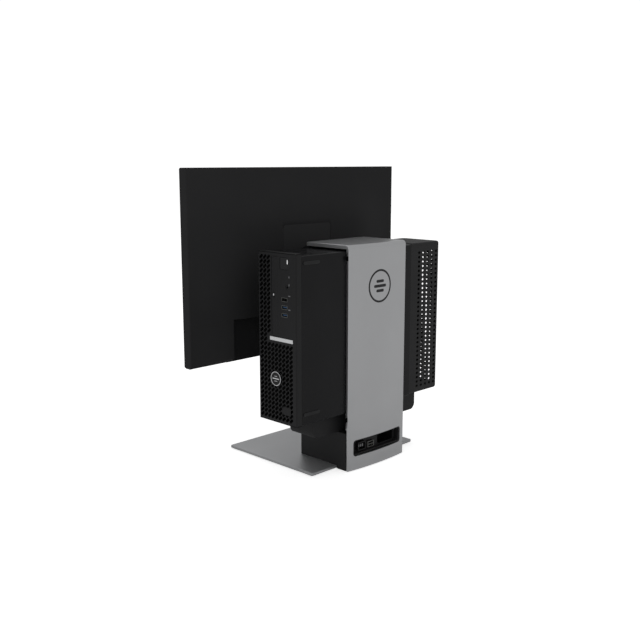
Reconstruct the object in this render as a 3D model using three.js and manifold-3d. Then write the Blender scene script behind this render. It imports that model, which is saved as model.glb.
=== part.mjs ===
// A small desktop computer docked on edge in a monitor stand, with its display.
// Millimetres. +Z is up, the display faces -Y, and the computer's front faces +X.
// The origin is on the desk, at the middle of the stand's column.
import * as THREE from "three";
import { mergeVertices } from "three/addons/utils/BufferGeometryUtils.js";
import Module from "manifold-3d";

const wasm = await Module();
wasm.setup();

// ---- driving dimensions ----
const GAP = 0.3; // clearance between touching pieces
const SHEET = 1.5; // folded steel
const SHELL = 2.5; // moulded shells

const base = { halfX: 137, front: -199, back: 25, bottom: 2, top: 7 };
const column = { halfX: 75.8, front: -66, back: 52.7, top: 402.6, bow: 5, flange: 5.2 };
const tray = { halfX: 138.7, halfY: 28.5, bottom: 70, top: 105.9, corner: 12 };
const pc = { rear: -99.4, front: 193.4, halfY: 46.3, bottom: 106.2, top: 396.2, caseTop: 392.2, bezel: 12.1 };
const depth = pc.front - pc.rear; // the computer's own group starts at its rear bottom edge
const height = pc.top - pc.bottom;
const caseHeight = pc.caseTop - pc.bottom; // the steel case is a little lower than its bezel
const cover = { rear: -188, front: -99.8, halfY: 45.5, bottom: 107.5, top: 394, corner: 10 };
const tower = { halfX: 45, back: -49.3, bottom: 69.9, top: 396.6, slotHalfX: 16, slotBottom: 240 };
const head = { hingeY: -100, z: 359, pinRadius: 4, knuckleRadius: 9, plateHalfX: 62, plateHalfZ: 68 };
const display = {
  halfX: 266, halfZ: 173.2, front: -162.6, seam: -158, edge: -144, step: -136, bulge: -125,
};
const panel = { halfX: 259, halfZ: 162 }; // the part of the display that shows a picture
const port = { left: -65, right: 63, bottom: 26, top: 56, corner: 6 };

// ---- materials ----
const matt = (color, roughness, metalness = 0) =>
  new THREE.MeshStandardMaterial({ color, roughness, metalness });
const SILVER = [0x95969a, 0.42, 0.6];
const BLACK = [0x1c1c1e, 0.55, 0];
const DARK_STEEL = [0x17171a, 0.5, 0.4];
const RUBBER = [0x101010, 0.9, 0];
const STEEL = [0xb4b6ba, 0.35, 0.9];
const CIRCUIT = [0x12402a, 0.6, 0.1];
const GREY_PLASTIC = [0x2a2b2e, 0.6, 0];

// ---- geometry helpers ----
// A box between two limits on each axis.
function box(x0, x1, y0, y1, z0, z1) {
  const shape = new THREE.BoxGeometry(x1 - x0, y1 - y0, z1 - z0);
  return shape.translate((x0 + x1) / 2, (y0 + y1) / 2, (z0 + z1) / 2);
}

// A rectangle with round corners, between two limits on each of its own axes.
function roundedRectangle(a0, a1, b0, b1, radius) {
  const shape = new THREE.Shape();
  shape.moveTo(a0 + radius, b0);
  shape.absarc(a1 - radius, b0 + radius, radius, -Math.PI / 2, 0);
  shape.absarc(a1 - radius, b1 - radius, radius, 0, Math.PI / 2);
  shape.absarc(a0 + radius, b1 - radius, radius, Math.PI / 2, Math.PI);
  shape.absarc(a0 + radius, b0 + radius, radius, Math.PI, Math.PI * 1.5);
  return shape;
}

// Extrusions: the outline lies in XY, XZ or YZ, and runs between two heights on the third axis.
function alongZ(outline, z0, z1, curveSegments = 4) {
  const options = { depth: z1 - z0, bevelEnabled: false, curveSegments };
  return new THREE.ExtrudeGeometry(outline, options).translate(0, 0, z0);
}

function alongY(outline, y0, y1, curveSegments = 4) {
  const options = { depth: y1 - y0, bevelEnabled: false, curveSegments };
  return new THREE.ExtrudeGeometry(outline, options).rotateX(Math.PI / 2).translate(0, y1, 0);
}

function alongX(outline, x0, x1, curveSegments = 4) {
  const options = { depth: x1 - x0, bevelEnabled: false, curveSegments };
  const shape = new THREE.ExtrudeGeometry(outline, options);
  return shape.rotateX(Math.PI / 2).rotateZ(Math.PI / 2).translate(x0, 0, 0);
}

// A rod along one axis, centred on the point given.
function rod(axis, radius, length, [x, y, z], sides = 24) {
  const shape = new THREE.CylinderGeometry(radius, radius, length, sides);
  if (axis === "x") shape.rotateZ(Math.PI / 2);
  if (axis === "z") shape.rotateX(Math.PI / 2);
  return shape.translate(x, y, z);
}

function solid(geometry) {
  const bare = geometry.clone();
  bare.deleteAttribute("normal");
  bare.deleteAttribute("uv");
  const merged = mergeVertices(bare, 1e-4);
  return new wasm.Manifold(new wasm.Mesh({
    numProp: 3,
    vertProperties: new Float32Array(merged.attributes.position.array),
    triVerts: new Uint32Array(merged.index.array),
  }));
}

function geometryOf(manifold) {
  const mesh = manifold.getMesh();
  const geometry = new THREE.BufferGeometry();
  geometry.setAttribute("position", new THREE.BufferAttribute(mesh.vertProperties, 3));
  geometry.setIndex(new THREE.BufferAttribute(mesh.triVerts, 1));
  geometry.computeVertexNormals();
  return geometry;
}

const join = (first, ...others) =>
  geometryOf(others.reduce((sum, other) => sum.add(solid(other)), solid(first)));
const cut = (body, ...tools) =>
  geometryOf(tools.reduce((rest, tool) => rest.subtract(solid(tool)), solid(body)));

// Adds a named sub-part to a group.
function add(group, name, geometry, look) {
  const mesh = new THREE.Mesh(geometry, matt(...look));
  mesh.name = name;
  group.add(mesh);
}

// ---- stand ----
function basePlate() {
  const outline = roundedRectangle(-base.halfX, base.halfX, base.front, base.back, 4);
  return alongZ(outline, base.bottom, base.top);
}

function pad(x, y, halfX, halfY) {
  const outline = roundedRectangle(x - halfX, x + halfX, y - halfY, y + halfY, 3);
  return alongZ(outline, 0, base.bottom - GAP, 3);
}

// The column's foot: a box that stands on the plate, open below and behind.
function columnBase() {
  const side = column.halfX - GAP;
  const back = column.back - column.flange;
  const top = tray.bottom - GAP;
  const wall = 3;
  const body = box(-side, side, column.front, back, base.top + GAP, top);
  const heel = box(-side, side, base.back + GAP, back, 1.2, base.top + 1);
  const inside = box(-side + wall, side - wall, column.front + wall, back + 1, 0, top - wall);
  return cut(join(body, heel), inside);
}

// A cross-section bowed outwards by an arc. Its inner side is parallel to the arc, or straight.
function bowedOutline(halfX, innerY, outerY, bow, parallel) {
  const radius = (halfX * halfX + bow * bow) / (2 * bow);
  const angle = Math.asin(halfX / radius);
  const centre = outerY + bow - radius;
  const shape = new THREE.Shape();
  shape.moveTo(halfX, innerY);
  shape.lineTo(halfX, outerY);
  shape.absarc(0, centre, radius, Math.PI / 2 - angle, Math.PI / 2 + angle);
  shape.lineTo(-halfX, innerY);
  if (parallel) {
    const innerCentre = centre - (outerY - innerY);
    shape.absarc(0, innerCentre, radius, Math.PI / 2 + angle, Math.PI / 2 - angle, true);
  }
  return shape;
}

// The silver skin: one bowed rear panel with side flanges, folded over the top.
function standCover() {
  const wall = 3;
  const { halfX, back, bow, top, flange } = column;
  const skin = alongZ(bowedOutline(halfX, back - wall, back, bow, true), 1.2, top, 12);
  const lid = alongZ(bowedOutline(halfX, tower.back + GAP, back, bow, false), pc.caseTop + 3.4, top, 12);
  const flangeBottom = 77;
  const leftFlange = box(-halfX, -halfX + wall, back - flange, back, flangeBottom, top);
  const rightFlange = box(halfX - wall, halfX, back - flange, back, flangeBottom, top);
  const window = roundedRectangle(port.left, port.right, port.bottom, port.top, port.corner);
  return cut(join(skin, lid, leftFlange, rightFlange), alongY(window, back - 8, back + 9));
}

// A snap clip that shows at the skin's edge.
function coverClip(z) {
  const outline = roundedRectangle(column.back - 3.5, column.back - 0.8, z - 4, z + 4, 1.2);
  return alongX(outline, column.halfX + GAP, column.halfX + 2.3, 2);
}

// The black recess behind the rear window, with holes for the sockets and the cables.
function portWindow() {
  const y0 = column.back - 12;
  const y1 = column.back - 0.4;
  const inset = 0.4;
  const edge = roundedRectangle(
    port.left + inset, port.right - inset, port.bottom + inset, port.top - inset, port.corner - inset);
  const hollow = roundedRectangle(
    port.left + 3, port.right - 3, port.bottom + 3, port.top - 3, port.corner - 3);
  const inletHole = box(23, 45, y0 - 1, y1, 30.5, 47.5);
  const socketHole = box(0, 18, y0 - 1, y1, 31, 43);
  const cableHole = alongY(roundedRectangle(-57, -14, 30.5, 51, 3), y0 - 1, y1);
  const ring = cut(alongY(edge, y0, y1), alongY(hollow, y0 + 2, y1 + 1));
  return cut(ring, inletHole, socketHole, cableHole);
}

function powerInlet() {
  const back = column.back - 4;
  const front = back - 26;
  const body = alongY(roundedRectangle(23.4, 44.6, 30.9, 47.1, 2.5), front, back);
  const cavity = alongY(roundedRectangle(25.4, 42.6, 32.9, 45.1, 2), back - 15, back + 1);
  const pins = [29, 34, 39].map((x) => box(x - 1, x + 1, back - 16, back - 3, 36.5, 41.5));
  return join(cut(body, cavity), ...pins);
}

function backSocket() {
  const back = column.back - 5;
  const body = box(0.4, 17.6, back - 16, back, 31.4, 42.6);
  const upper = box(2, 16, back - 12, back + 1, 37.6, 41.4);
  const lower = box(2, 16, back - 12, back + 1, 32.6, 36.4);
  return cut(body, upper, lower);
}

// The cradle that the computer stands in: a ribbed trough, open at the top.
function cradleTray() {
  const { halfX, halfY, bottom, top, corner } = tray;
  const wall = 3;
  const outline = new THREE.Shape();
  outline.moveTo(-halfX, top);
  outline.lineTo(-halfX, bottom + corner);
  outline.absarc(-halfX + corner, bottom + corner, corner, Math.PI, Math.PI * 1.5);
  outline.absarc(halfX - corner, bottom + corner, corner, Math.PI * 1.5, Math.PI * 2);
  outline.lineTo(halfX, top);
  const trough = alongY(outline, -halfY, halfY, 6);
  const rib = 2;
  const bays = [[-halfX + wall, -70], [-70 + rib, -rib / 2], [rib / 2, 70 - rib], [70, halfX - wall]];
  const pockets = bays.map(([x0, x1]) =>
    box(x0, x1, -halfY + wall, halfY - wall, bottom + corner, top + 1));
  return cut(trough, ...pockets);
}

// The cover over the computer's rear sockets and cables: a shell that is open towards +X.
function cableCover() {
  const { rear, front, halfY, bottom, top, corner } = cover;
  const outline = (inset, end) => {
    const shape = new THREE.Shape();
    const y = halfY - inset;
    const r = corner - inset;
    shape.moveTo(end, -y);
    shape.lineTo(end, y);
    shape.absarc(rear + corner, y - r, r, Math.PI / 2, Math.PI);
    shape.absarc(rear + corner, -y + r, r, Math.PI, Math.PI * 1.5);
    return shape;
  };
  const outer = alongZ(outline(0, front), bottom, top, 6);
  const inner = alongZ(outline(SHELL, front + 1), bottom + SHELL, top - SHELL, 6);
  return cut(outer, inner);
}

// The lift tower: a channel with a slot in its front for the display's arm.
function liftTower() {
  const { halfX, back, bottom, top, slotHalfX, slotBottom } = tower;
  const wall = 3;
  const body = box(-halfX, halfX, column.front, back, bottom, top);
  const inside = box(-halfX + wall, halfX - wall, column.front + wall, back - wall, bottom + wall, top - 1.5);
  const slot = box(-slotHalfX, slotHalfX, column.front - 1, column.front + wall + 1, slotBottom, top - 3);
  return cut(body, inside, slot);
}

const towerInnerBack = tower.back - 3;
const liftRail = () => box(-30, 30, towerInnerBack - 2.3, towerInnerBack - GAP, 75, 378);
const liftCarriage = () =>
  box(-35, 35, column.front + 3 + GAP, towerInnerBack - 2.6, head.z - 63, head.z + 4);
const liftSpring = () => rod("x", 4.6, 26, [0, -57.8, 389.5], 20);

// The arm that reaches from the carriage through the slot to the tilt pin.
function tiltArm() {
  const { hingeY, z, knuckleRadius, pinRadius } = head;
  const reach = box(-12, 12, hingeY, column.front + 3, z - 14, z + 6);
  const knuckle = rod("x", knuckleRadius, 24, [0, hingeY, z]);
  return cut(join(reach, knuckle), rod("x", pinRadius + GAP, 30, [0, hingeY, z]));
}

const tiltPin = () => rod("x", head.pinRadius, 44, [0, head.hingeY, head.z]);

// The tilting yoke: a round plate with two ears on the pin.
function tiltHead() {
  const { hingeY, z, knuckleRadius, pinRadius } = head;
  const plateY = hingeY - knuckleRadius - 0.5;
  const plate = rod("y", 30, 5, [0, plateY - 2.5, z], 32);
  const ears = [-17, 17].flatMap((x) => [
    rod("x", knuckleRadius, 8, [x, hingeY, z]),
    box(x - 4, x + 4, plateY - 1, hingeY, z - knuckleRadius, z + knuckleRadius),
  ]);
  return cut(join(plate, ...ears), rod("x", pinRadius + GAP, 60, [0, hingeY, z]));
}

const headPlateBack = -125.4;
const headPlateFront = headPlateBack - 5;
const buttonTop = -head.plateHalfZ - 2.5; // from the head's centre

function pivotDisc() {
  const y0 = headPlateBack + GAP;
  const y1 = head.hingeY - head.knuckleRadius - 0.5 - 5 - GAP;
  return rod("y", 27, y1 - y0, [0, (y0 + y1) / 2, head.z], 32);
}

// The plate that the display hangs on.
function headPlate() {
  const { plateHalfX, plateHalfZ, z } = head;
  const outline = roundedRectangle(-plateHalfX, plateHalfX, z - plateHalfZ, z + plateHalfZ, 6);
  return alongY(outline, headPlateFront, headPlateBack);
}

function releaseButton() {
  const top = head.z + buttonTop;
  return alongY(roundedRectangle(-10, 10, top - 9, top, 2), headPlateFront + 0.4, headPlateBack + 1, 3);
}

// ---- display, in a group whose origin is at the head's height ----
const menuButtonX = [-228, -214, -200, -186];
const powerButtonX = -246;
const buttonHalfX = 4.5;

// The rear housing: a shell that swells in two steps towards the middle.
function displayRearCover() {
  const { halfX, halfZ, seam, edge, step, bulge } = display;
  const ledgeX = halfX - 18;
  const swellX = 190;
  const outline = roundedRectangle(-halfX, halfX, -halfZ, halfZ, 3);
  const ledge = roundedRectangle(-ledgeX, ledgeX, 6 - halfZ, halfZ - 14, 12);
  const swell = roundedRectangle(-swellX, swellX, 12 - halfZ, halfZ - 60, 16);
  const rim = alongY(outline, seam + GAP, edge, 2);
  const body = join(rim, alongY(ledge, edge - 1, step, 3), alongY(swell, step - 1, bulge, 3));
  const inside = halfX - SHELL;
  const hollow = box(-inside, inside, seam - 1, edge - SHELL, SHELL - halfZ, halfZ - SHELL);
  const bayX = ledgeX - 16;
  const boardBay = box(-bayX, bayX, edge - SHELL - 1, step - SHELL, 16 - halfZ, halfZ - 24);
  const recessX = head.plateHalfX + 1.5;
  const recessZ = head.plateHalfZ + 1.5;
  const floor = headPlateFront - GAP;
  const plateOutline = roundedRectangle(-recessX, recessX, -recessZ, recessZ, 6);
  const plateRecess = alongY(plateOutline, floor, bulge + 1);
  const buttonRecess = box(-12, 12, floor, bulge + 1, buttonTop - 12, 0);
  const socketX = swellX - 12;
  const socketBay = box(-socketX, socketX, bulge - 4, bulge + 1, 11 - halfZ, 90 - halfZ);
  return cut(body, hollow, boardBay, plateRecess, buttonRecess, socketBay);
}

// The front frame, with holes in its lower edge for the buttons.
function displayBezel() {
  const { halfX, halfZ, front, seam } = display;
  const outer = alongY(roundedRectangle(-halfX, halfX, -halfZ, halfZ, 3), front, seam, 2);
  const openX = panel.halfX + GAP;
  const openZ = panel.halfZ + GAP;
  const opening = box(-openX, openX, front - 1, seam + 1, -openZ, openZ);
  const holes = [powerButtonX, ...menuButtonX].map((x) =>
    box(x - buttonHalfX - GAP, x + buttonHalfX + GAP, front + 1.4, seam - 0.8, -halfZ - 1, 5.6 - halfZ));
  return cut(outer, opening, ...holes);
}

const lcdPanel = () =>
  box(-panel.halfX, panel.halfX, display.front + 0.4, display.seam + 8, -panel.halfZ, panel.halfZ);
const displayBoard = () => box(-90, 90, display.edge - 2, display.edge + 0.2, -150, -74);

function displayButton(x) {
  const { front, seam, halfZ } = display;
  return box(x - buttonHalfX, x + buttonHalfX, front + 1.7, seam - 1.1, -halfZ - 0.8, 3.6 - halfZ);
}

// ---- computer, in a group whose origin is at its rear bottom edge ----
const face = depth - pc.bezel; // where the front bezel starts
const drive = { y0: -13, y1: 2, bottom: 148.8, top: 283 };
const strip = { y0: -18, y1: 38, bottom: 141.4, top: 148 };
const sockets = { y0: 10.5, y1: 26.5, bottom: 179.5, top: 220.5 };
const powerKey = { y0: 8, y1: 28, bottom: 262.5, top: 282.5 };
const boardY = 37.5; // the motherboard's component side

// The steel case, open on its -Y side.
function chassis() {
  const outer = box(0, face - GAP, -pc.halfY + SHEET + GAP, pc.halfY, 0, caseHeight);
  const inside = box(SHEET, face - GAP - SHEET, -pc.halfY, pc.halfY - SHEET, SHEET, caseHeight - SHEET);
  const front = box(face - 5, face + 1, drive.y0 - 3, sockets.y1 + 2, drive.bottom, drive.top);
  const rearOpening = box(-1, SHEET + 1, 8, boardY, 178, 282);
  const rearFan = rod("x", 29, 8, [0, -5, 46]);
  return cut(outer, inside, front, rearOpening, rearFan);
}

function sideCover() {
  const outline = roundedRectangle(0, face - GAP, 0, caseHeight, 1.5);
  return alongY(outline, -pc.halfY, -pc.halfY + SHEET, 2);
}

// The front bezel: a shell with openings for what it shows.
function frontBezel() {
  const round = 2;
  const y = pc.halfY;
  const section = new THREE.Shape();
  section.moveTo(face, -y);
  section.lineTo(depth - round, -y);
  section.absarc(depth - round, -y + round, round, -Math.PI / 2, 0);
  section.absarc(depth - round, y - round, round, 0, Math.PI / 2);
  section.lineTo(face, y);
  const shell = alongZ(section, 0, height, 6);
  const inside = box(face - 1, depth - SHELL, -y + SHELL, y - SHELL, SHELL, height - SHELL);
  const x0 = face - 1;
  const x1 = depth + 1;
  const driveSlot = box(x0, x1, drive.y0 - GAP, drive.y1 + GAP, drive.bottom - GAP, drive.top + GAP);
  const key = powerKey;
  const keyHole = alongX(
    roundedRectangle(key.y0 - GAP, key.y1 + GAP, key.bottom - GAP, key.top + GAP, 3), x0, x1, 3);
  const socketHole = box(x0, x1, sockets.y0 - GAP, sockets.y1 + GAP, sockets.bottom - GAP, sockets.top + GAP);
  const jackHole = rod("x", 4.3, 40, [depth, 25, 234]);
  const stripSeat = box(depth - 2, x1, strip.y0 - GAP, strip.y1 + GAP, strip.bottom - GAP, strip.top);
  return cut(shell, inside, driveSlot, keyHole, socketHole, jackHole, stripSeat);
}

const bezelStrip = () => box(depth - 1.7, depth, strip.y0, strip.y1, strip.bottom, strip.top - GAP);

function powerButton() {
  const outline = roundedRectangle(powerKey.y0, powerKey.y1, powerKey.bottom, powerKey.top, 3);
  return alongX(outline, face + 3, depth - 0.4, 3);
}

// Three flat sockets in one block behind the bezel.
function frontSockets() {
  const body = box(face + 0.2, depth - 1.4, sockets.y0, sockets.y1, sockets.bottom, sockets.top);
  const centres = [213, 200, 187];
  const mouths = centres.map((z) => box(depth - 10, depth, 12, 25, z - 2.6, z + 2.6));
  const tongues = centres.map((z) => box(depth - 11, depth - 2.5, 13, 24, z - 1, z + 1));
  return join(cut(body, ...mouths), ...tongues);
}

function headsetJack() {
  const barrel = rod("x", 4, 10, [depth - 6, 25, 234]);
  return cut(barrel, rod("x", 1.8, 8, [depth - 2, 25, 234], 16));
}

// The slim drive's case, open at the front.
function driveBody() {
  const outer = box(face - 128, face - GAP, drive.y0 + 0.3, drive.y0 + 13, 152, 280);
  const inside = box(face - 126.5, face + 1, drive.y0 + 1.3, drive.y0 + 12, 153.2, 278.8);
  return cut(outer, inside);
}

// The drive's sliding tray, with its front bar and a hole for the eject button.
function driveTray() {
  const y0 = drive.y0 + 2;
  const y1 = drive.y0 + 11;
  const sled = box(face - 124, face + 3, y0, y1, 154.5, 277.5);
  const bar = box(face + 1, depth - 0.2, drive.y0, drive.y1, drive.bottom, drive.top);
  const discWell = rod("y", 60.5, 4, [face - 62, y0 + 1, 216], 40);
  const hub = rod("y", 10, 4, [face - 62, y0 + 1.4, 216], 20);
  const buttonHole = box(depth - 6, depth + 1, -10.4, -5.6, 214.6, 223.4);
  return cut(join(cut(join(sled, bar), discWell), hub), buttonHole);
}

const ejectButton = () => box(depth - 4.5, depth, -10.1, -5.9, 214.9, 223.1);

const motherboard = () => box(6, 176, boardY, boardY + 1.6, 112, 282);
const processor = { x: 100, z: 205 };

function heatsink() {
  const { x, z } = processor;
  const block = box(x - 40, x + 40, 9, boardY - GAP, z - 40, z + 40);
  const slots = Array.from({ length: 9 }, (unused, i) => {
    const middle = z - 32 + i * 8;
    return box(x - 41, x + 41, 8, boardY - 8, middle - 2.5, middle + 2.5);
  });
  return cut(block, ...slots);
}

function fanFrame() {
  const { x, z } = processor;
  const ring = box(x - 40, x + 40, -7, 9 - GAP, z - 40, z + 40);
  return cut(ring, rod("y", 37.5, 13, [x, 0.6, z], 32), rod("y", 34, 30, [x, 0, z], 32));
}

// A fan's rotor: a hub with slanted blades, turning about Y until it is placed.
function rotor(hubRadius, tipRadius, thickness, blades) {
  const hub = rod("y", hubRadius, thickness, [0, 0, 0]);
  const vanes = Array.from({ length: blades }, (unused, i) => {
    const reach = tipRadius - hubRadius + 2;
    const vane = box(hubRadius - 2, hubRadius - 2 + reach, -0.8, 0.8, -thickness * 0.55, thickness * 0.55);
    vane.rotateX(Math.PI / 4).rotateY((i * 2 * Math.PI) / blades);
    return vane;
  });
  return join(hub, ...vanes);
}

const memoryModule = (x) => box(x - 2, x + 2, 6, boardY - GAP, 125, 258);
const solidStateDrive = () => box(30, 110, boardY - 4, boardY - 1, 128, 150);

// A steel box, open where its fan blows out.
function powerSupply() {
  const body = box(3, 155, -34, 40, 4, 90);
  const inside = box(16, 153.8, -32.8, 38.8, 5.2, 88.8);
  return cut(body, rod("x", 30, 30, [8, -5, 46], 32), inside);
}

const hardDrive = () => box(165, 266.6, -34, -8, 3.5, 147);

// The block of rear sockets on the motherboard.
function rearSockets() {
  const body = box(0.4, 18, 8.4, boardY - GAP, 178.4, 281.6);
  const mouths = [[183, 199], [203, 219], [223, 239], [243, 259], [262, 277]].map(([z0, z1]) =>
    box(-1, 12, 12, 30, z0, z1));
  return cut(body, ...mouths);
}

const sideFoot = (x, z) =>
  alongY(roundedRectangle(x - 19, x + 19, z - 3, z + 3, 2.9), pc.halfY + GAP, pc.halfY + 1, 3);

// ---- assembly ----
const stand = new THREE.Group();
add(stand, "base_plate", basePlate(), SILVER);
add(stand, "base_pad", pad(0, 0, 30, 10), RUBBER);
[[-122, -186], [122, -186], [-122, 12], [122, 12]].forEach(([x, y], i) =>
  add(stand, `base_foot_${i + 1}`, pad(x, y, 11, 9), RUBBER));
add(stand, "column_base", columnBase(), BLACK);
add(stand, "stand_cover", standCover(), SILVER);
add(stand, "cover_clip_upper", coverClip(380), BLACK);
add(stand, "cover_clip_lower", coverClip(96), BLACK);
add(stand, "port_window", portWindow(), BLACK);
add(stand, "power_inlet", powerInlet(), BLACK);
add(stand, "back_socket", backSocket(), STEEL);
add(stand, "cradle_tray", cradleTray(), GREY_PLASTIC);
add(stand, "cable_cover", cableCover(), GREY_PLASTIC);
add(stand, "lift_tower", liftTower(), BLACK);
add(stand, "lift_rail", liftRail(), STEEL);
add(stand, "lift_spring", liftSpring(), STEEL);
add(stand, "lift_carriage", liftCarriage(), STEEL);
add(stand, "tilt_arm", tiltArm(), DARK_STEEL);
add(stand, "tilt_pin", tiltPin(), STEEL);
add(stand, "tilt_head", tiltHead(), DARK_STEEL);
add(stand, "pivot_disc", pivotDisc(), DARK_STEEL);
add(stand, "head_plate", headPlate(), BLACK);
add(stand, "release_button", releaseButton(), GREY_PLASTIC);

const screen = new THREE.Group();
screen.position.set(0, 0, head.z);
add(screen, "display_rear_cover", displayRearCover(), BLACK);
add(screen, "display_bezel", displayBezel(), BLACK);
add(screen, "lcd_panel", lcdPanel(), [0x08090b, 0.3, 0]);
add(screen, "display_board", displayBoard(), CIRCUIT);
add(screen, "display_power_button", displayButton(powerButtonX), BLACK);
menuButtonX.forEach((x, i) => add(screen, `display_menu_button_${i + 1}`, displayButton(x), BLACK));

const computer = new THREE.Group();
computer.position.set(pc.rear, 0, pc.bottom);
add(computer, "pc_chassis", chassis(), DARK_STEEL);
add(computer, "pc_side_cover", sideCover(), DARK_STEEL);
add(computer, "pc_front_bezel", frontBezel(), BLACK);
add(computer, "bezel_strip", bezelStrip(), STEEL);
add(computer, "power_button", powerButton(), BLACK);
add(computer, "front_sockets", frontSockets(), BLACK);
add(computer, "headset_jack", headsetJack(), BLACK);
add(computer, "optical_drive", driveBody(), STEEL);
add(computer, "drive_tray", driveTray(), BLACK);
add(computer, "eject_button", ejectButton(), GREY_PLASTIC);
add(computer, "motherboard", motherboard(), CIRCUIT);
add(computer, "cpu_heatsink", heatsink(), STEEL);
add(computer, "cpu_fan_frame", fanFrame(), BLACK);
add(computer, "memory_module_1", memoryModule(150), CIRCUIT);
add(computer, "memory_module_2", memoryModule(160), CIRCUIT);
add(computer, "solid_state_drive", solidStateDrive(), CIRCUIT);
add(computer, "power_supply", powerSupply(), STEEL);
add(computer, "hard_drive", hardDrive(), STEEL);
add(computer, "rear_sockets", rearSockets(), STEEL);
[[258, 274], [258, 19], [48, 274], [48, 19]].forEach(([x, z], i) =>
  add(computer, `pc_foot_${i + 1}`, sideFoot(x, z), RUBBER));

const cpuFan = new THREE.Group();
cpuFan.position.set(processor.x, 1, processor.z);
add(cpuFan, "cpu_fan", rotor(13, 33, 9, 7), BLACK);
const supplyFan = new THREE.Group();
supplyFan.position.set(8.5, -5, 46);
supplyFan.rotation.z = Math.PI / 2;
add(supplyFan, "supply_fan", rotor(11, 27, 8, 7), BLACK);
computer.add(cpuFan, supplyFan);

const desktop = new THREE.Group();
desktop.add(stand, screen, computer);
export default desktop;
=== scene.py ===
"""A small desktop computer in a monitor stand with its display, seen from behind."""
import math

import bmesh
import bpy
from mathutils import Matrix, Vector
from mathutils.geometry import tessellate_polygon


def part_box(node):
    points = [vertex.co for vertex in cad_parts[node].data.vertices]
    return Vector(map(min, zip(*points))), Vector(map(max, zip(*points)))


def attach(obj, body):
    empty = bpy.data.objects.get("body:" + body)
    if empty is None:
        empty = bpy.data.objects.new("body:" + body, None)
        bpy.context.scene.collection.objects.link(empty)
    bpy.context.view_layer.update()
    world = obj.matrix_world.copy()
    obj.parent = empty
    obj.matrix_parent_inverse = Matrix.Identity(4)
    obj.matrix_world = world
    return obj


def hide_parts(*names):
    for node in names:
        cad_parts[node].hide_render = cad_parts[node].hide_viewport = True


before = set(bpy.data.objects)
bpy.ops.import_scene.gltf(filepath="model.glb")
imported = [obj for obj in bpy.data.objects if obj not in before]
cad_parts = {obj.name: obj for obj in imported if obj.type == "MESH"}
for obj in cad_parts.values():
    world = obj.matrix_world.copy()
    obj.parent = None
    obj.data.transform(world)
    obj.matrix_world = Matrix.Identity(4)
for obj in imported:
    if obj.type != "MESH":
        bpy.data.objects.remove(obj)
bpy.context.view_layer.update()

MM = 0.001
QUARTER = math.pi / 2


# ---------------------------------------------------------------- camera, light, floor
def build_camera():
    """The view from behind, to the side of the computer's front, a little above."""
    azimuth, pitch, lens = math.radians(134.9), math.radians(10.29), 49.31
    data = bpy.data.cameras.new("camera")
    data.sensor_width = 36.0
    data.lens = lens
    camera = bpy.data.objects.new("camera", data)
    camera.location = (1.1585, 1.0625, 0.5435)
    camera.rotation_euler = (QUARTER - pitch, 0.0, azimuth)
    bpy.context.scene.collection.objects.link(camera)
    bpy.context.scene.camera = camera


def area_light(name, azimuth, elevation, distance, size, power):
    """A soft box that looks at the middle of the object."""
    target = Vector((0.0, -0.03, 0.25))
    a, e = math.radians(azimuth), math.radians(elevation)
    away = Vector((math.sin(a) * math.cos(e), -math.cos(a) * math.cos(e), math.sin(e)))
    data = bpy.data.lights.new(name, "AREA")
    data.shape = "DISK"
    data.size = size
    data.energy = power
    light = bpy.data.objects.new(name, data)
    light.location = target + away * distance
    light.rotation_euler = (-away).to_track_quat("-Z", "Y").to_euler()
    bpy.context.scene.collection.objects.link(light)


def brightness(nodes, links, lighting, looks):
    """A number that differs between what the camera sees and what lights the object."""
    seen = nodes.new("ShaderNodeLightPath")
    strength = nodes.new("ShaderNodeMapRange")
    strength.inputs["To Min"].default_value = lighting
    strength.inputs["To Max"].default_value = looks
    links.new(seen.outputs["Is Camera Ray"], strength.inputs["Value"])
    return strength.outputs["Result"]


def build_studio():
    """A white room: it looks white, and lights the object evenly and more softly than it looks."""
    world = bpy.data.worlds.new("studio")
    world.use_nodes = True
    nodes, links = world.node_tree.nodes, world.node_tree.links
    background = nodes["Background"]
    background.inputs["Color"].default_value = (1.0, 1.0, 1.0, 1.0)
    links.new(brightness(nodes, links, 0.5, 1.05), background.inputs["Strength"])
    bpy.context.scene.world = world
    bpy.context.scene.view_settings.view_transform = "Standard"
    area_light("key", 128, 12, 2.6, 1.8, 1.5)
    area_light("screen_side", 340, 35, 2.8, 1.6, 5.0)

    floor = bmesh.new()
    bmesh.ops.create_grid(floor, x_segments=2, y_segments=2, size=6.0)
    mesh = bpy.data.meshes.new("floor")
    floor.to_mesh(mesh)
    floor.free()
    plane = bpy.data.objects.new("floor", mesh)
    bpy.context.scene.collection.objects.link(plane)
    pale = bpy.data.materials.new("pale_floor")
    pale.use_nodes = True
    shader = pale.node_tree.nodes["Principled BSDF"]
    shader.inputs["Base Color"].default_value = (0.86, 0.86, 0.86, 1.0)
    shader.inputs["Roughness"].default_value = 0.9
    shader.inputs["Emission Color"].default_value = (1.0, 1.0, 1.0, 1.0)
    nodes, links = pale.node_tree.nodes, pale.node_tree.links
    links.new(brightness(nodes, links, 0.08, 0.7), shader.inputs["Emission Strength"])
    mesh.materials.append(pale)


# ---------------------------------------------------------------- materials
def new_material(name, colour, roughness, metallic=0.0, specular=0.5):
    """A material with its shader."""
    material = bpy.data.materials.new(name)
    material.use_nodes = True
    shader = material.node_tree.nodes["Principled BSDF"]
    shader.inputs["Base Color"].default_value = (*colour, 1.0)
    shader.inputs["Roughness"].default_value = roughness
    shader.inputs["Metallic"].default_value = metallic
    shader.inputs["Specular IOR Level"].default_value = specular
    return material, shader


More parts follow.
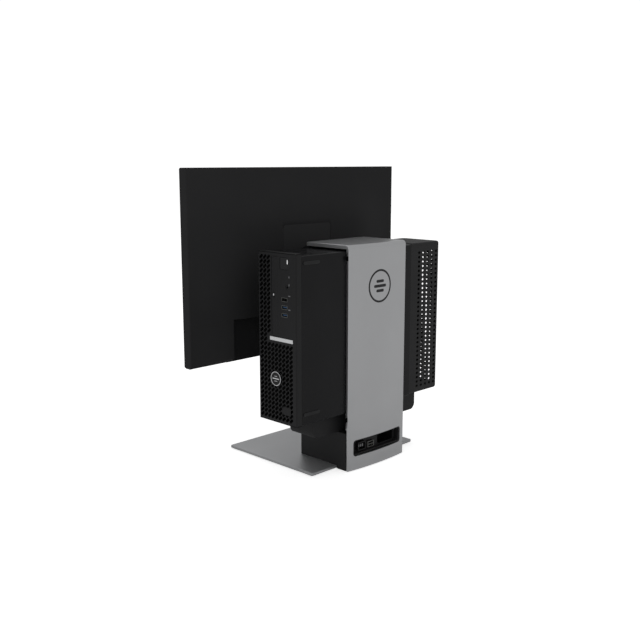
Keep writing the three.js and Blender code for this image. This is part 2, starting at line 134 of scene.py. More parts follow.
def noise(material, scale, detail=3.0, stretch=(1.0, 1.0, 1.0)):
    """A noise in the object's own coordinates, longer along some axes if asked."""
    nodes, links = material.node_tree.nodes, material.node_tree.links
    place = nodes.new("ShaderNodeTexCoord")
    mapping = nodes.new("ShaderNodeMapping")
    mapping.inputs["Scale"].default_value = stretch
    texture = nodes.new("ShaderNodeTexNoise")
    texture.inputs["Scale"].default_value = scale
    texture.inputs["Detail"].default_value = detail
    links.new(place.outputs["Object"], mapping.inputs["Vector"])
    links.new(mapping.outputs["Vector"], texture.inputs["Vector"])
    return texture.outputs["Fac"]


def ramp(material, value, low, high, start=0.35, end=0.65):
    """A colour between two, by a value."""
    node = material.node_tree.nodes.new("ShaderNodeValToRGB")
    node.color_ramp.elements[0].position = start
    node.color_ramp.elements[1].position = end
    node.color_ramp.elements[0].color = (*low, 1.0)
    node.color_ramp.elements[1].color = (*high, 1.0)
    material.node_tree.links.new(value, node.inputs["Fac"])
    return node.outputs["Color"]


def spread(material, value, low, high):
    """A number between two, by a value."""
    node = material.node_tree.nodes.new("ShaderNodeMapRange")
    node.inputs["To Min"].default_value = low
    node.inputs["To Max"].default_value = high
    material.node_tree.links.new(value, node.inputs["Value"])
    return node.outputs["Result"]


def bump(material, shader, height, strength, distance):
    """Relief from a height."""
    node = material.node_tree.nodes.new("ShaderNodeBump")
    node.inputs["Strength"].default_value = strength
    node.inputs["Distance"].default_value = distance
    material.node_tree.links.new(height, node.inputs["Height"])
    material.node_tree.links.new(node.outputs["Normal"], shader.inputs["Normal"])


def shade(colour, factor):
    """The colour made lighter or darker."""
    return tuple(channel * factor for channel in colour)


def surface(name, colour, roughness, metallic=0.0, specular=0.5, grain=900.0, depth=0.05,
            variation=0.12, stretch=(1.0, 1.0, 1.0)):
    """A finish with fine grain in its relief, and soft changes of colour and gloss."""
    material, shader = new_material(name, colour, roughness, metallic, specular)
    cloud = noise(material, 9.0, 4.0)
    tint = ramp(material, cloud, shade(colour, 1.0 - variation), shade(colour, 1.0 + variation))
    material.node_tree.links.new(tint, shader.inputs["Base Color"])
    fine = noise(material, grain, 2.0, stretch)
    gloss = spread(material, fine, roughness - 0.06, roughness + 0.06)
    material.node_tree.links.new(gloss, shader.inputs["Roughness"])
    bump(material, shader, fine, 0.35, depth * MM)
    return material


SILVER = surface("silver_paint", (0.545, 0.55, 0.56), 0.34, 0.9, 0.5, 1600.0, 0.02, 0.02)
PLATE_SILVER = surface("plate_silver", (0.42, 0.425, 0.435), 0.42, 0.65, 0.5, 1600.0, 0.02, 0.03)
TRIM_SILVER = surface("brushed_trim", (0.86, 0.87, 0.88), 0.3, 0.9, 0.5, 500.0, 0.02, 0.04,
                      (0.05, 1.0, 8.0))
BLACK = surface("black_plastic", (0.020, 0.020, 0.021), 0.5, 0.0, 0.22, 1500.0, 0.05)
BEZEL_BLACK = surface("bezel_plastic", (0.013, 0.013, 0.014), 0.48, 0.0, 0.24, 1700.0, 0.04)
GLOSS_BLACK = surface("smooth_black", (0.010, 0.010, 0.011), 0.26, 0.0, 0.26, 900.0, 0.01)
DISPLAY_BLACK = surface("display_plastic", (0.034, 0.034, 0.035), 0.6, 0.0, 0.02, 1300.0, 0.05, 0.04)
HEAD_BLACK = surface("head_plastic", (0.040, 0.040, 0.041), 0.6, 0.0, 0.03, 1300.0, 0.05, 0.04)
# Darker than the display's back: painted shade on the floor of the sockets' recess.
BAY_SHADED_BLACK = surface("bay_plastic_painted_shade", (0.026, 0.026, 0.027), 0.6, 0.0, 0.06, 1300.0, 0.05)
TRAY_GREY = surface("tray_plastic", (0.021, 0.021, 0.022), 0.55, 0.0, 0.22, 1200.0, 0.06)
COVER_GREY = surface("cover_plastic", (0.019, 0.019, 0.020), 0.55, 0.0, 0.24, 1200.0, 0.06)
CASE_STEEL = surface("black_painted_steel", (0.0085, 0.0085, 0.0095), 0.26, 0.0, 0.17, 1900.0, 0.01)
# Near-black: the own colour of socket tongues and clips, and painted shade on the sheets under the lid,
# behind the rear window and behind the bezel's slots.
NEAR_BLACK_AND_SHADE = surface("near_black_and_painted_shade", (0.003, 0.003, 0.003), 0.7, 0.0, 0.08, 900.0, 0.05)
RUBBER = surface("black_rubber", (0.009, 0.009, 0.009), 0.85, 0.0, 0.15, 1400.0, 0.09)
STEEL = surface("bare_steel", (0.42, 0.425, 0.43), 0.34, 0.9, 0.5, 420.0, 0.02, 0.06, (1.0, 1.0, 0.06))
ALUMINIUM = surface("aluminium", (0.55, 0.56, 0.57), 0.3, 0.9, 0.5, 420.0, 0.02, 0.05)
SOCKET_METAL = surface("socket_metal", (0.17, 0.172, 0.165), 0.36, 0.85, 0.5, 420.0, 0.02, 0.06)
BOARD = surface("circuit_board", (0.012, 0.06, 0.03), 0.45, 0.0, 0.5, 260.0, 0.15, 0.35)
SCREEN = surface("screen_glass", (0.008, 0.008, 0.010), 0.16, 0.0, 0.5, 2200.0, 0.004)
USB_BLUE = surface("socket_blue", (0.03, 0.075, 0.16), 0.45, 0.0, 0.3, 900.0, 0.03)
MARK_GREY = surface("printed_mark", (0.22, 0.22, 0.23), 0.6, 0.0, 0.3, 900.0, 0.01)
BADGE_BLACK = surface("badge_print", (0.012, 0.012, 0.013), 0.45, 0.0, 0.4, 900.0, 0.01)


def light_material():
    """The white light guide in the power button."""
    material, shader = new_material("white_light", (0.9, 0.9, 0.9), 0.4)
    shader.inputs["Emission Color"].default_value = (1.0, 1.0, 1.0, 1.0)
    shader.inputs["Emission Strength"].default_value = 0.8
    cloud = noise(material, 300.0)
    tint = ramp(material, cloud, (0.85, 0.85, 0.85), (0.95, 0.95, 0.95))
    material.node_tree.links.new(tint, shader.inputs["Base Color"])
    return material


LIGHT = light_material()


# ---------------------------------------------------------------- outlines, in millimetres
def rounded(a0, a1, b0, b1, radius, steps=6):
    """A rectangle with round corners, anticlockwise."""
    points = []
    corners = [(a1 - radius, b0 + radius, -QUARTER), (a1 - radius, b1 - radius, 0.0),
               (a0 + radius, b1 - radius, QUARTER), (a0 + radius, b0 + radius, math.pi)]
    for centre_a, centre_b, start in corners:
        for i in range(steps + 1):
            angle = start + QUARTER * i / steps
            points.append((centre_a + radius * math.cos(angle), centre_b + radius * math.sin(angle)))
    return points


def ring(centre_a, centre_b, radius, sides, turn=0.0):
    """A regular polygon, anticlockwise."""
    angles = [turn + 2 * math.pi * i / sides for i in range(sides)]
    return [(centre_a + radius * math.cos(t), centre_b + radius * math.sin(t)) for t in angles]


def offset(loop, distance):
    """The loop moved outwards by a distance, along the mitre at each corner."""
    moved = []
    count = len(loop)
    for i in range(count):
        before, here, after = Vector(loop[i - 1]), Vector(loop[i]), Vector(loop[(i + 1) % count])
        first, second = (here - before).normalized(), (after - here).normalized()
        normal = Vector((first.y + second.y, -first.x - second.x))
        if normal.length < 1e-6:
            moved.append(tuple(here))
            continue
        normal.normalize()
        lean = max(0.5, normal.dot(Vector((first.y, -first.x))))
        moved.append(tuple(here + normal * distance / lean))
    return moved


# ---------------------------------------------------------------- meshes
def rounding(edge, steps):
    """Insets and rises of a quarter round, or of a square edge when it has no size."""
    if edge == 0.0:
        return [(0.0, 0.0)]
    angles = [QUARTER * i / steps for i in range(steps + 1)]
    return [(edge * (1 - math.sin(t)), edge * (1 - math.cos(t))) for t in angles]


def plate(mesh, loops, low, high, edge=0.0, steps=2, low_edge=None):
    """Adds a plate between two heights: an outline, any holes, and rounded edges.

    The loops are anticlockwise, and the first one is the outline. A vertex is (a, b, height).
    """
    below = rounding(edge if low_edge is None else low_edge, steps)
    profile = [(inset, low + rise) for inset, rise in below]
    profile += [(inset, high - rise) for inset, rise in reversed(rounding(edge, steps))]
    rings = []
    for inset, height in profile:
        level = []
        for number, loop in enumerate(loops):
            shift = -inset if number == 0 else inset
            outline = offset(loop, shift) if inset > 1e-6 else loop
            level.append([mesh.verts.new((a, b, height)) for a, b in outline])
        rings.append(level)
    for lower, upper in zip(rings, rings[1:]):
        for number, (one, two) in enumerate(zip(lower, upper)):
            for i in range(len(one)):
                j = (i + 1) % len(one)
                quad = (one[i], one[j], two[j], two[i])
                mesh.faces.new(quad if number == 0 else quad[::-1])
    for level, upwards in ((rings[0], False), (rings[-1], True)):
        flat = [vertex for loop in level for vertex in loop]
        for triangle in tessellate_polygon([[v.co for v in loop] for loop in level]):
            corners = [flat[i] for i in triangle]
            normal = (corners[1].co - corners[0].co).cross(corners[2].co - corners[0].co)
            if (normal.z > 0) != upwards:
                corners.reverse()
            mesh.faces.new(corners)


AXES = {
    "x": lambda a, b, t: (t, a, b),
    "y": lambda a, b, t: (a, t, b),
    "z": lambda a, b, t: (a, b, t),
}


def turned(mesh, axis):
    """Lays a plate's heights along an axis, with its outline in the other two."""
    for vertex in mesh.verts:
        vertex.co = AXES[axis](*vertex.co)
    return mesh


def piece(name, mesh, material, body, replaces=(), slot=None, place=(0.0, 0.0, 0.0), sharp=35.0):
    """Makes an object from a mesh in millimetres, places it, and lets it ride on a body."""
    bmesh.ops.remove_doubles(mesh, verts=mesh.verts, dist=1e-4)
    bmesh.ops.recalc_face_normals(mesh, faces=mesh.faces)
    for vertex in mesh.verts:
        vertex.co = (vertex.co + Vector(place)) * MM
    data = bpy.data.meshes.new(name)
    mesh.to_mesh(data)
    mesh.free()
    data.materials.append(material)
    data.shade_smooth()
    data.set_sharp_from_angle(angle=math.radians(sharp))
    thing = bpy.data.objects.new(name, data)
    bpy.context.scene.collection.objects.link(thing)
    weighted = thing.modifiers.new("weighted_normals", "WEIGHTED_NORMAL")
    weighted.keep_sharp = True
    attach(thing, body)
    if replaces:
        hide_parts(*replaces)
    return thing


def slab(name, axis, loops, low, high, edge, material, body, **details):
    """A piece that is one plate along an axis."""
    mesh = bmesh.new()
    plate(mesh, loops, low, high, edge)
    return piece(name, turned(mesh, axis), material, body, **details)


def dress(node, material, edge=0.0):
    """Gives a carried-over CAD node its material, and softens its edges."""
    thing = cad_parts[node]
    thing.data.materials.clear()
    thing.data.materials.append(material)
    if edge:
        weld = thing.modifiers.new("weld", "WELD")
        weld.merge_threshold = 0.00002
        soften = thing.modifiers.new("soft_edges", "BEVEL")
        soften.width = edge * MM
        soften.segments = 2
        soften.limit_method = "ANGLE"
        soften.angle_limit = math.radians(40)
        soften.harden_normals = False
        weighted = thing.modifiers.new("weighted_normals", "WEIGHTED_NORMAL")
        weighted.keep_sharp = False


def mm_box(node):
    """A CAD node's lowest and highest corners in millimetres."""
    low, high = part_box(node)
    return [v / MM for v in low], [v / MM for v in high]


def carved(solid, *tools):
    """The solid with other meshes cut out of it."""
    things = []
    for mesh in (solid, *tools):
        bmesh.ops.remove_doubles(mesh, verts=mesh.verts, dist=1e-4)
        bmesh.ops.recalc_face_normals(mesh, faces=mesh.faces)
        data = bpy.data.meshes.new("carving")
        mesh.to_mesh(data)
        mesh.free()
        thing = bpy.data.objects.new("carving", data)
        bpy.context.scene.collection.objects.link(thing)
        things.append(thing)
    for tool in things[1:]:
        cut = things[0].modifiers.new("cut", "BOOLEAN")
        cut.operation = "DIFFERENCE"
        cut.solver = "EXACT"
        cut.object = tool
    depsgraph = bpy.context.evaluated_depsgraph_get()
    result = bmesh.new()
    result.from_mesh(things[0].evaluated_get(depsgraph).to_mesh())
    for thing in things:
        data = thing.data
        bpy.data.objects.remove(thing)
        bpy.data.meshes.remove(data)
    return result


def cutter(axis, loop, low, high):
    """A plate along an axis, to cut away."""
    mesh = bmesh.new()
    plate(mesh, [loop], low, high)
    return turned(mesh, axis)


def slice_across(mesh, place):
    """Cuts the faces at a place across the mesh, so that they can bend there."""
    geometry = mesh.verts[:] + mesh.edges[:] + mesh.faces[:]
    bmesh.ops.bisect_plane(mesh, geom=geometry, dist=1e-5, plane_co=(place, 0, 0), plane_no=(1, 0, 0))


class Wrap:
    """Bends a flat sheet round two upright corners: flat middle, round corner, straight side."""

    def __init__(self, half, radius, run, at):
        self.flat = half - radius
        self.radius = radius
        self.corner_end = self.flat + radius * QUARTER
        self.end = self.corner_end + run
        self.at = at  # (distance behind the face, sideways) to a place in X and Y

    def bend(self, mesh, corner_steps=8):
        """Each vertex is (along the sheet, up, depth below its outer face)."""
        step = (self.corner_end - self.flat) / corner_steps
        for side in (-1, 1):
            for i in range(corner_steps + 1):
                slice_across(mesh, side * (self.flat + i * step))
        for vertex in mesh.verts:
            along, up, depth = vertex.co
            side = 1 if along >= 0 else -1
            reach = abs(along)
            if reach <= self.flat:
                behind, sideways = depth, reach
            elif reach <= self.corner_end:
                angle = (reach - self.flat) / self.radius
                bent = self.radius - depth
                behind = self.radius - bent * math.cos(angle)
                sideways = self.flat + bent * math.sin(angle)
            else:
                behind = self.radius + reach - self.corner_end
                sideways = self.flat + self.radius - depth
            vertex.co = (*self.at(behind, side * sideways), up)
        return mesh


def honeycomb(a0, a1, b0, b1, pitch, radius, sides, keep=lambda a, b: True, turn=0.0):
    """Holes in staggered columns that fill a rectangle."""
    holes = []
    column_step = pitch * math.sqrt(3) / 2
    columns = int((a1 - a0 - 2 * radius) / column_step) + 1
    margin = (a1 - a0 - (columns - 1) * column_step) / 2
    for i in range(columns):
        a = a0 + margin + i * column_step
        lift = radius + (pitch / 2 if i % 2 else 0.0)
        rows = int((b1 - b0 - lift - radius) / pitch) + 1
        for j in range(rows):
            b = b0 + lift + j * pitch
            if keep(a, b):
                holes.append(ring(a, b, radius, sides, turn))
    return holes


def slots(columns, low, high, pitch, half_length, half_width, tilt, keep=lambda a, b: True):
    """Long holes with pointed ends, in level rows, each turned by the same angle."""
    point = half_width * 0.7
    shape = [(half_length, 0.0), (half_length - point, half_width), (point - half_length, half_width),
             (-half_length, 0.0), (point - half_length, -half_width), (half_length - point, -half_width)]
    turn, lean = math.cos(tilt), math.sin(tilt)
    holes = []
    for a in columns:
        for row in range(int((high - low) / pitch) + 1):
            b = low + row * pitch
            if keep(a, b):
                holes.append([(a + x * turn - y * lean, b + x * lean + y * turn) for x, y in shape])
    return holes


# ---------------------------------------------------------------- stand
SKIN_LOW, SKIN_HIGH = mm_box("stand_cover")
SKIN_BOW = 5.0  # how far the silver skin swells at its middle
SKIN_HALF = SKIN_HIGH[0]
SKIN_CHORD = SKIN_HIGH[1] - SKIN_BOW  # where its side edges lie


def bowed(x):
    """Where the silver skin's outer face lies, at a place across it."""
    return SKIN_CHORD + SKIN_BOW * (1 - (x / SKIN_HALF) ** 2)


def stand_skin():
    """The silver skin: a bowed rear panel with side flanges, folded over into the lid."""
    half, front, top = SKIN_HALF, SKIN_LOW[1], SKIN_HIGH[2]
    wall, corner, fold = 3.0, 1.6, 7.4
    flange_bottom, lid_depth, flange = 77.0, 6.8, 5.2

    def section(depth):
        """Pairs of outer and inner points: (across, depth below the outer face)."""
        pairs = [((half, depth), (half - wall, depth))]
        for i in range(5):
            angle = QUARTER * i / 4
            across = half - corner * (1 - math.cos(angle))
            pairs.append(((across, corner * (1 - math.sin(angle))), (half - wall, wall)))
        steps = 28
        for i in range(1, steps):
            across = (half - corner) * (1 - 2 * i / steps)
            clipped = max(-half + wall, min(half - wall, across))
            pairs.append(((across, 0.0), (clipped, wall)))
        mirror = [((-a[0], a[1]), (-b[0], b[1])) for a, b in reversed(pairs[:6])]
        return pairs + mirror

    def along_lid(x, depth, share):
        return (x, front + share * (bowed(x) - fold - front), top - depth)

    def along_fold(x, depth, angle):
        bent = fold - depth
        return (x, bowed(x) - fold + bent * math.sin(angle), top - fold + bent * math.cos(angle))

    def down_back(x, depth, up):
        return (x, bowed(x) - depth, up)

    stations = [(along_lid, share, lid_depth) for share in (0.0, 0.01, 0.5, 1.0)]
    for i in range(1, 9):
        stations.append((along_fold, QUARTER * i / 8, lid_depth + (flange - lid_depth) * i / 8))
    stations += [(down_back, z, flange) for z in (300.0, 200.0, flange_bottom + 0.02)]
    stations += [(down_back, z, wall + 0.02) for z in (flange_bottom, 64.0, 20.0, SKIN_LOW[2])]
    mesh = bmesh.new()
    levels = []
    for place, value, depth in stations:
        pairs = section(depth)
        outer = [mesh.verts.new(place(a[0], a[1], value)) for a, b in pairs]
        inner = [mesh.verts.new(place(b[0], b[1], value)) for a, b in pairs]
        levels.append((outer, inner))
    count = len(levels[0][0])
    for (outer, inner), (outer_next, inner_next) in zip(levels, levels[1:]):
        for k in range(count - 1):
            mesh.faces.new((outer[k], outer[k + 1], outer_next[k + 1], outer_next[k]))
            mesh.faces.new((inner[k], inner_next[k], inner_next[k + 1], inner[k + 1]))
        for k in (0, count - 1):
            mesh.faces.new((outer[k], outer_next[k], inner_next[k], inner[k]))
    for outer, inner in (levels[0], levels[-1]):
        for k in range(count - 1):
            mesh.faces.new((outer[k], inner[k], inner[k + 1], outer[k + 1]))
    window = window_outline(0.0, 6.0)
    mesh = carved(mesh, cutter("y", window, SKIN_CHORD - 20, SKIN_CHORD + 20))
    piece("stand_skin", mesh, SILVER, "stand", replaces=["stand_cover"], slot="silver_skin")
    # A near-black sheet just under the lid: painted shade in the gap between the lid and the case top.
    lid_shade_outline = rounded(wall - half, half - wall, front + 0.4, SKIN_CHORD - 8, 2)
    under_lid = top - lid_depth
    slab("painted_shade_under_lid", "z", [lid_shade_outline], under_lid - 2.6, under_lid - 0.2, 0.3, NEAR_BLACK_AND_SHADE, "stand")


def window_outline(inset, radius):
    """The rear window's outline, inset from the edge of the hole in the skin."""
    low, high = mm_box("port_window")
    margin = inset - 0.4
    return rounded(low[0] + margin, high[0] - margin, low[2] + margin, high[2] - margin, radius)


def rear_window():
    """The recess round the rear sockets: a sloping rim, a floor and three openings."""
    low, high = mm_box("port_window")
    y0, y1 = low[1], high[1]
    inlet_low, inlet_high = mm_box("power_inlet")
    socket_low, socket_high = mm_box("back_socket")
    openings = [
        rounded(inlet_low[0] - 0.3, inlet_high[0] + 0.3, inlet_low[2] - 0.3, inlet_high[2] + 0.3, 2.5),
        rounded(socket_low[0] - 0.3, socket_high[0] + 0.3, socket_low[2] - 0.3, socket_high[2] + 0.3, 0.6),
        rounded(-57, -14, 30.5, 51, 3),
    ]
    mesh = bmesh.new()
    plate(mesh, [window_outline(0.4, 5.6), *openings], y0, y0 + 2, 0.3)
    plate(mesh, [window_outline(0.5, 5.5), window_outline(3.0, 3.4)], y0 + 1.9, y1, 0.6)
    piece("rear_window", turned(mesh, "y"), BLACK, "stand", replaces=["port_window"],
          slot="black_plastic")
    # A near-black sheet behind the cable opening in the window: painted shade in the space behind it.
    slab("painted_shade_behind_window", "y", [rounded(-60, 60, 28, 54, 3)], y0 - 26, y0 - 25, 0.2, NEAR_BLACK_AND_SHADE,
         "stand")

    mesh = bmesh.new()
    (x0, _, z0), (x1, back, z1) = inlet_low, inlet_high
    plate(mesh, [rounded(x0, x1, z0, z1, 2.5), rounded(x0 + 2.2, x1 - 2.2, z0 + 2.2, z1 - 2.2, 2.0)],
          back - 15, back, 0.5)
    plate(mesh, [rounded(x0 + 1, x1 - 1, z0 + 1, z1 - 1, 1.5)], back - 16, back - 14.5, 0.2)
    piece("inlet_housing", turned(mesh, "y"), GLOSS_BLACK, "stand", replaces=["power_inlet"],
          slot="black_plastic")
    mesh = bmesh.new()
    for x in (29, 34, 39):
        plate(mesh, [rounded(x - 1, x + 1, 36.5, 41.5, 0.4, 2)], back - 15, back - 3, 0.5)
    piece("inlet_pins", turned(mesh, "y"), STEEL, "stand", slot="bare_steel")

    mesh = bmesh.new()
    (x0, _, z0), (x1, back, z1) = socket_low, socket_high
    mouths = [rounded(2, 16, 37.6, 41.4, 0.6, 2), rounded(2, 16, 32.6, 36.4, 0.6, 2)]
    plate(mesh, [rounded(x0, x1, z0, z1, 0.8, 3), *mouths], back - 12, back, 0.25)
    piece("rear_socket_shell", turned(mesh, "y"), SOCKET_METAL, "stand", replaces=["back_socket"],
          slot="bare_steel")
    mesh = bmesh.new()
    for z in (34.5, 39.5):
        plate(mesh, [rounded(3, 15, z - 0.8, z + 0.8, 0.3, 2)], back - 12, back - 2, 0.2)
    piece("rear_socket_tongues", turned(mesh, "y"), NEAR_BLACK_AND_SHADE, "stand", slot="black_plastic")


def stand_badge():
    """A plain round mark on the rear panel: a ring with three bars."""
    centre_z, outer, line, thickness, sunk = 327.0, 29.7, 3.7, 0.35, 0.3
    mesh = bmesh.new()
    plate(mesh, [ring(0, centre_z, outer, 72), ring(0, centre_z, outer - line, 72)], 0, thickness, 0.1)
    for lift, reach in ((8.5, 10.0), (0.0, 16.0), (-8.5, 10.0)):
        bar = rounded(-reach, reach, centre_z + lift - 2.6, centre_z + lift + 2.6, 2.5, 4)
        plate(mesh, [bar], 0, thickness, 0.1)
    for x in range(-25, 30, 5):
        slice_across(mesh, x)
    for vertex in mesh.verts:
        x, z, height = vertex.co
        vertex.co = (x, bowed(x) - sunk + height, z)
    piece("rear_mark", mesh, BADGE_BLACK, "stand")


def base():
    """The flat plate on the desk, with its pad and feet."""
    low, high = mm_box("base_plate")
    mesh = bmesh.new()
    plate(mesh, [rounded(low[0], high[0], low[1], high[1], 4)], low[2], high[2], 2.2, 5, 0.7)
    piece("stand_plate", mesh, PLATE_SILVER, "stand", replaces=["base_plate"], slot="silver_plate",
          sharp=50.0)
    for node in ["base_pad"] + [f"base_foot_{i}" for i in range(1, 5)]:
        dress(node, RUBBER, 0.3)


def cradle():
    """The cradle: a trough with round lower corners and four pockets, and a seam below its rim."""
    low, high = mm_box("cradle_tray")
    corner, wall = 12.0, 3.0
    outline = []
    for centre, start in ((high[0] - corner, -QUARTER), (low[0] + corner, math.pi)):
        arc = [start + QUARTER * i / 10 for i in range(11)]
        points = [(centre + corner * math.cos(t), low[2] + corner + corner * math.sin(t)) for t in arc]
        outline.append(points)
    seam_low, seam_high, seam = high[2] - 6, high[2] - 5.2, 0.6
    loop = outline[0] + [(high[0], seam_low), (high[0] - seam, seam_low), (high[0] - seam, seam_high),
                         (high[0], seam_high), (high[0], high[2])]
    loop += [(low[0], high[2]), (low[0], seam_high), (low[0] + seam, seam_high),
             (low[0] + seam, seam_low), (low[0], seam_low)] + outline[1]
    mesh = bmesh.new()
    plate(mesh, [loop], low[1], high[1], 0.4)
    pockets = []
    for x0, x1 in ((low[0] + wall, -71), (-69, -1), (1, 69), (71, high[0] - wall)):
        pocket = rounded(x0, x1, low[1] + wall, high[1] - wall, 2, 3)
        pockets.append(cutter("z", pocket, low[2] + corner, high[2] + 2))
    mesh = carved(turned(mesh, "y"), *pockets)
    piece("cradle_trough", mesh, TRAY_GREY, "stand", replaces=["cradle_tray"], slot="grey_plastic")


def cable_cover():
    """The perforated cover: a sheet with rows of holes bent round the cables, and two end caps."""
    low, high = mm_box("cable_cover")
    rear, front, half = low[0], high[0], high[1]
    radius, wall, cap, end_round = 10.0, 2.0, 4.5, 4.0
    wrap = Wrap(half, radius, front - rear - radius, lambda behind, sideways: (rear + behind, sideways))
    z0, z1 = low[2] + cap - 0.1, high[2] - cap + 0.1
    loops = [[(-wrap.end, z0), (wrap.end, z0), (wrap.end, z1), (-wrap.end, z1)]]
    from_low, to_high, pitch = low[2] + 13, high[2] - 12, 8.5
    side_columns = [wrap.corner_end + 3.5 + 12.7 * i for i in range(5)]
    rear_columns = [4.5 + 10.4 * i for i in range(3)]
    for columns, half_length in ((side_columns, 3.6), ([-a for a in side_columns], 3.6), (rear_columns, 3.4)):
        loops += slots(columns, from_low, to_high, pitch, half_length, 2.3, 0.0)
    mesh = bmesh.new()
    plate(mesh, loops, 0, wall)
    wrap.bend(mesh)
    piece("cable_cover_sheet", mesh, COVER_GREY, "cable_cover", replaces=["cable_cover"], slot="grey_plastic")
    outline = rounded(rear, front + radius, -half, half, radius, 8)
    outline = [(min(x, front), y) for x, y in outline]
    outline = [p for i, p in enumerate(outline) if p != outline[i - 1]]
    for name, end, way in (("cable_cover_top", high[2], 1), ("cable_cover_bottom", -low[2], -1)):
        mesh = bmesh.new()
        plate(mesh, [outline], end - cap, end, end_round, 5, 0.0)
        for vertex in mesh.verts:
            vertex.co.z *= way
        piece(name, mesh, COVER_GREY, "cable_cover", slot="grey_plastic")


# ---------------------------------------------------------------- computer
PC_LOW, PC_HIGH = mm_box("pc_chassis")
PC_FRONT = mm_box("pc_front_bezel")[1][0]
PC_HALF = mm_box("pc_front_bezel")[1][1]
PC_HEIGHT = mm_box("pc_front_bezel")[1][2] - PC_LOW[2]
CASE_HEIGHT = PC_HIGH[2] - PC_LOW[2]
PC_PLACE = (0.0, 0.0, PC_LOW[2])  # a piece of the computer counts its heights from its bottom
FACE = mm_box("pc_front_bezel")[0][0]


def case():
    """The folded steel case, with a lip along its top edges, and the side cover."""
    rear, front = PC_LOW[0], FACE - 0.3
    low_y, high_y = -PC_HALF + 1.8, PC_HALF
    top = CASE_HEIGHT
    lip, fold = 0.5, 2.6
    outline = []
    for centre_y, centre_z, start in ((high_y - fold, fold, -QUARTER), (high_y - fold, top - fold, 0.0)):
        for i in range(6):
            angle = start + QUARTER * i / 5
            outline.append((centre_y + fold * math.cos(angle), centre_z + fold * math.sin(angle)))
    outline += [(high_y - 7, top), (high_y - 7.3, top - lip), (high_y - 9.7, top - lip), (high_y - 10, top)]
    outline += [(low_y, top), (low_y, 0.0)]
    steel, tuck = 1.2, 0.8  # the sheet's thickness, and how far the end walls sit inside it
    inside = rounded(low_y + steel, high_y - steel, steel, top - steel, 1.0, 3)
    mesh = bmesh.new()
    plate(mesh, [outline, inside], rear, front, 0.2)
    sockets = rounded(8, 37.5, 178, 282, 0.5, 2)
    vents = honeycomb(-36, 30, 14, 84, 6.5, 2.6, 6)
    wall = rounded(low_y + tuck, high_y - tuck, tuck, top - tuck, 1.0, 3)
    plate(mesh, [wall, sockets, *vents], rear, rear + steel)
    plate(mesh, [wall, rounded(-16, 28.5, 148.8, 283, 1, 2)], front - steel, front)
    piece("case_sheet", turned(mesh, "x"), CASE_STEEL, "computer", replaces=["pc_chassis"],
          slot="black_steel", place=PC_PLACE)
    panel = rounded(rear, front, 0.3, top - 0.3, 1.2, 3)
    latch = rounded(rear + 20, rear + 56, top - 34, top - 22, 3, 4)
    mesh = bmesh.new()
    plate(mesh, [panel, latch], -PC_HALF, -PC_HALF + 1.4, 0.3)
    plate(mesh, [offset(latch, -0.3)], -PC_HALF + 0.7, -PC_HALF + 1.3, 0.2)
    piece("side_panel", turned(mesh, "y"), CASE_STEEL, "computer", replaces=["pc_side_cover"],
          slot="black_steel", place=PC_PLACE)


DRIVE = {"y0": -13.0, "y1": 2.0, "bottom": 148.8, "top": 283.0}
KEY = {"y0": 8.0, "y1": 28.0, "bottom": 262.5, "top": 282.5}
STRIP = {"y0": -18.0, "y1": 38.0, "bottom": 141.4, "top": 147.7}
SOCKETS = {"y0": 10.5, "y1": 26.5, "bottom": 179.5, "top": 220.5}
JACK = (25, 234)
SOCKET_HEIGHTS = (213, 200, 187)
BADGE = {"y": -4.0, "z": 76.0, "radius": 12.3}
STICKER = {"y0": 14.0, "y1": 32.0, "bottom": 17.0, "top": 31.0}


def between(limits, margin=0.0):
    """The outline of a feature given by its limits across and up, grown by a margin."""
    return rounded(limits["y0"] - margin, limits["y1"] + margin, limits["bottom"] - margin,
                   limits["top"] + margin, 0.6, 2)


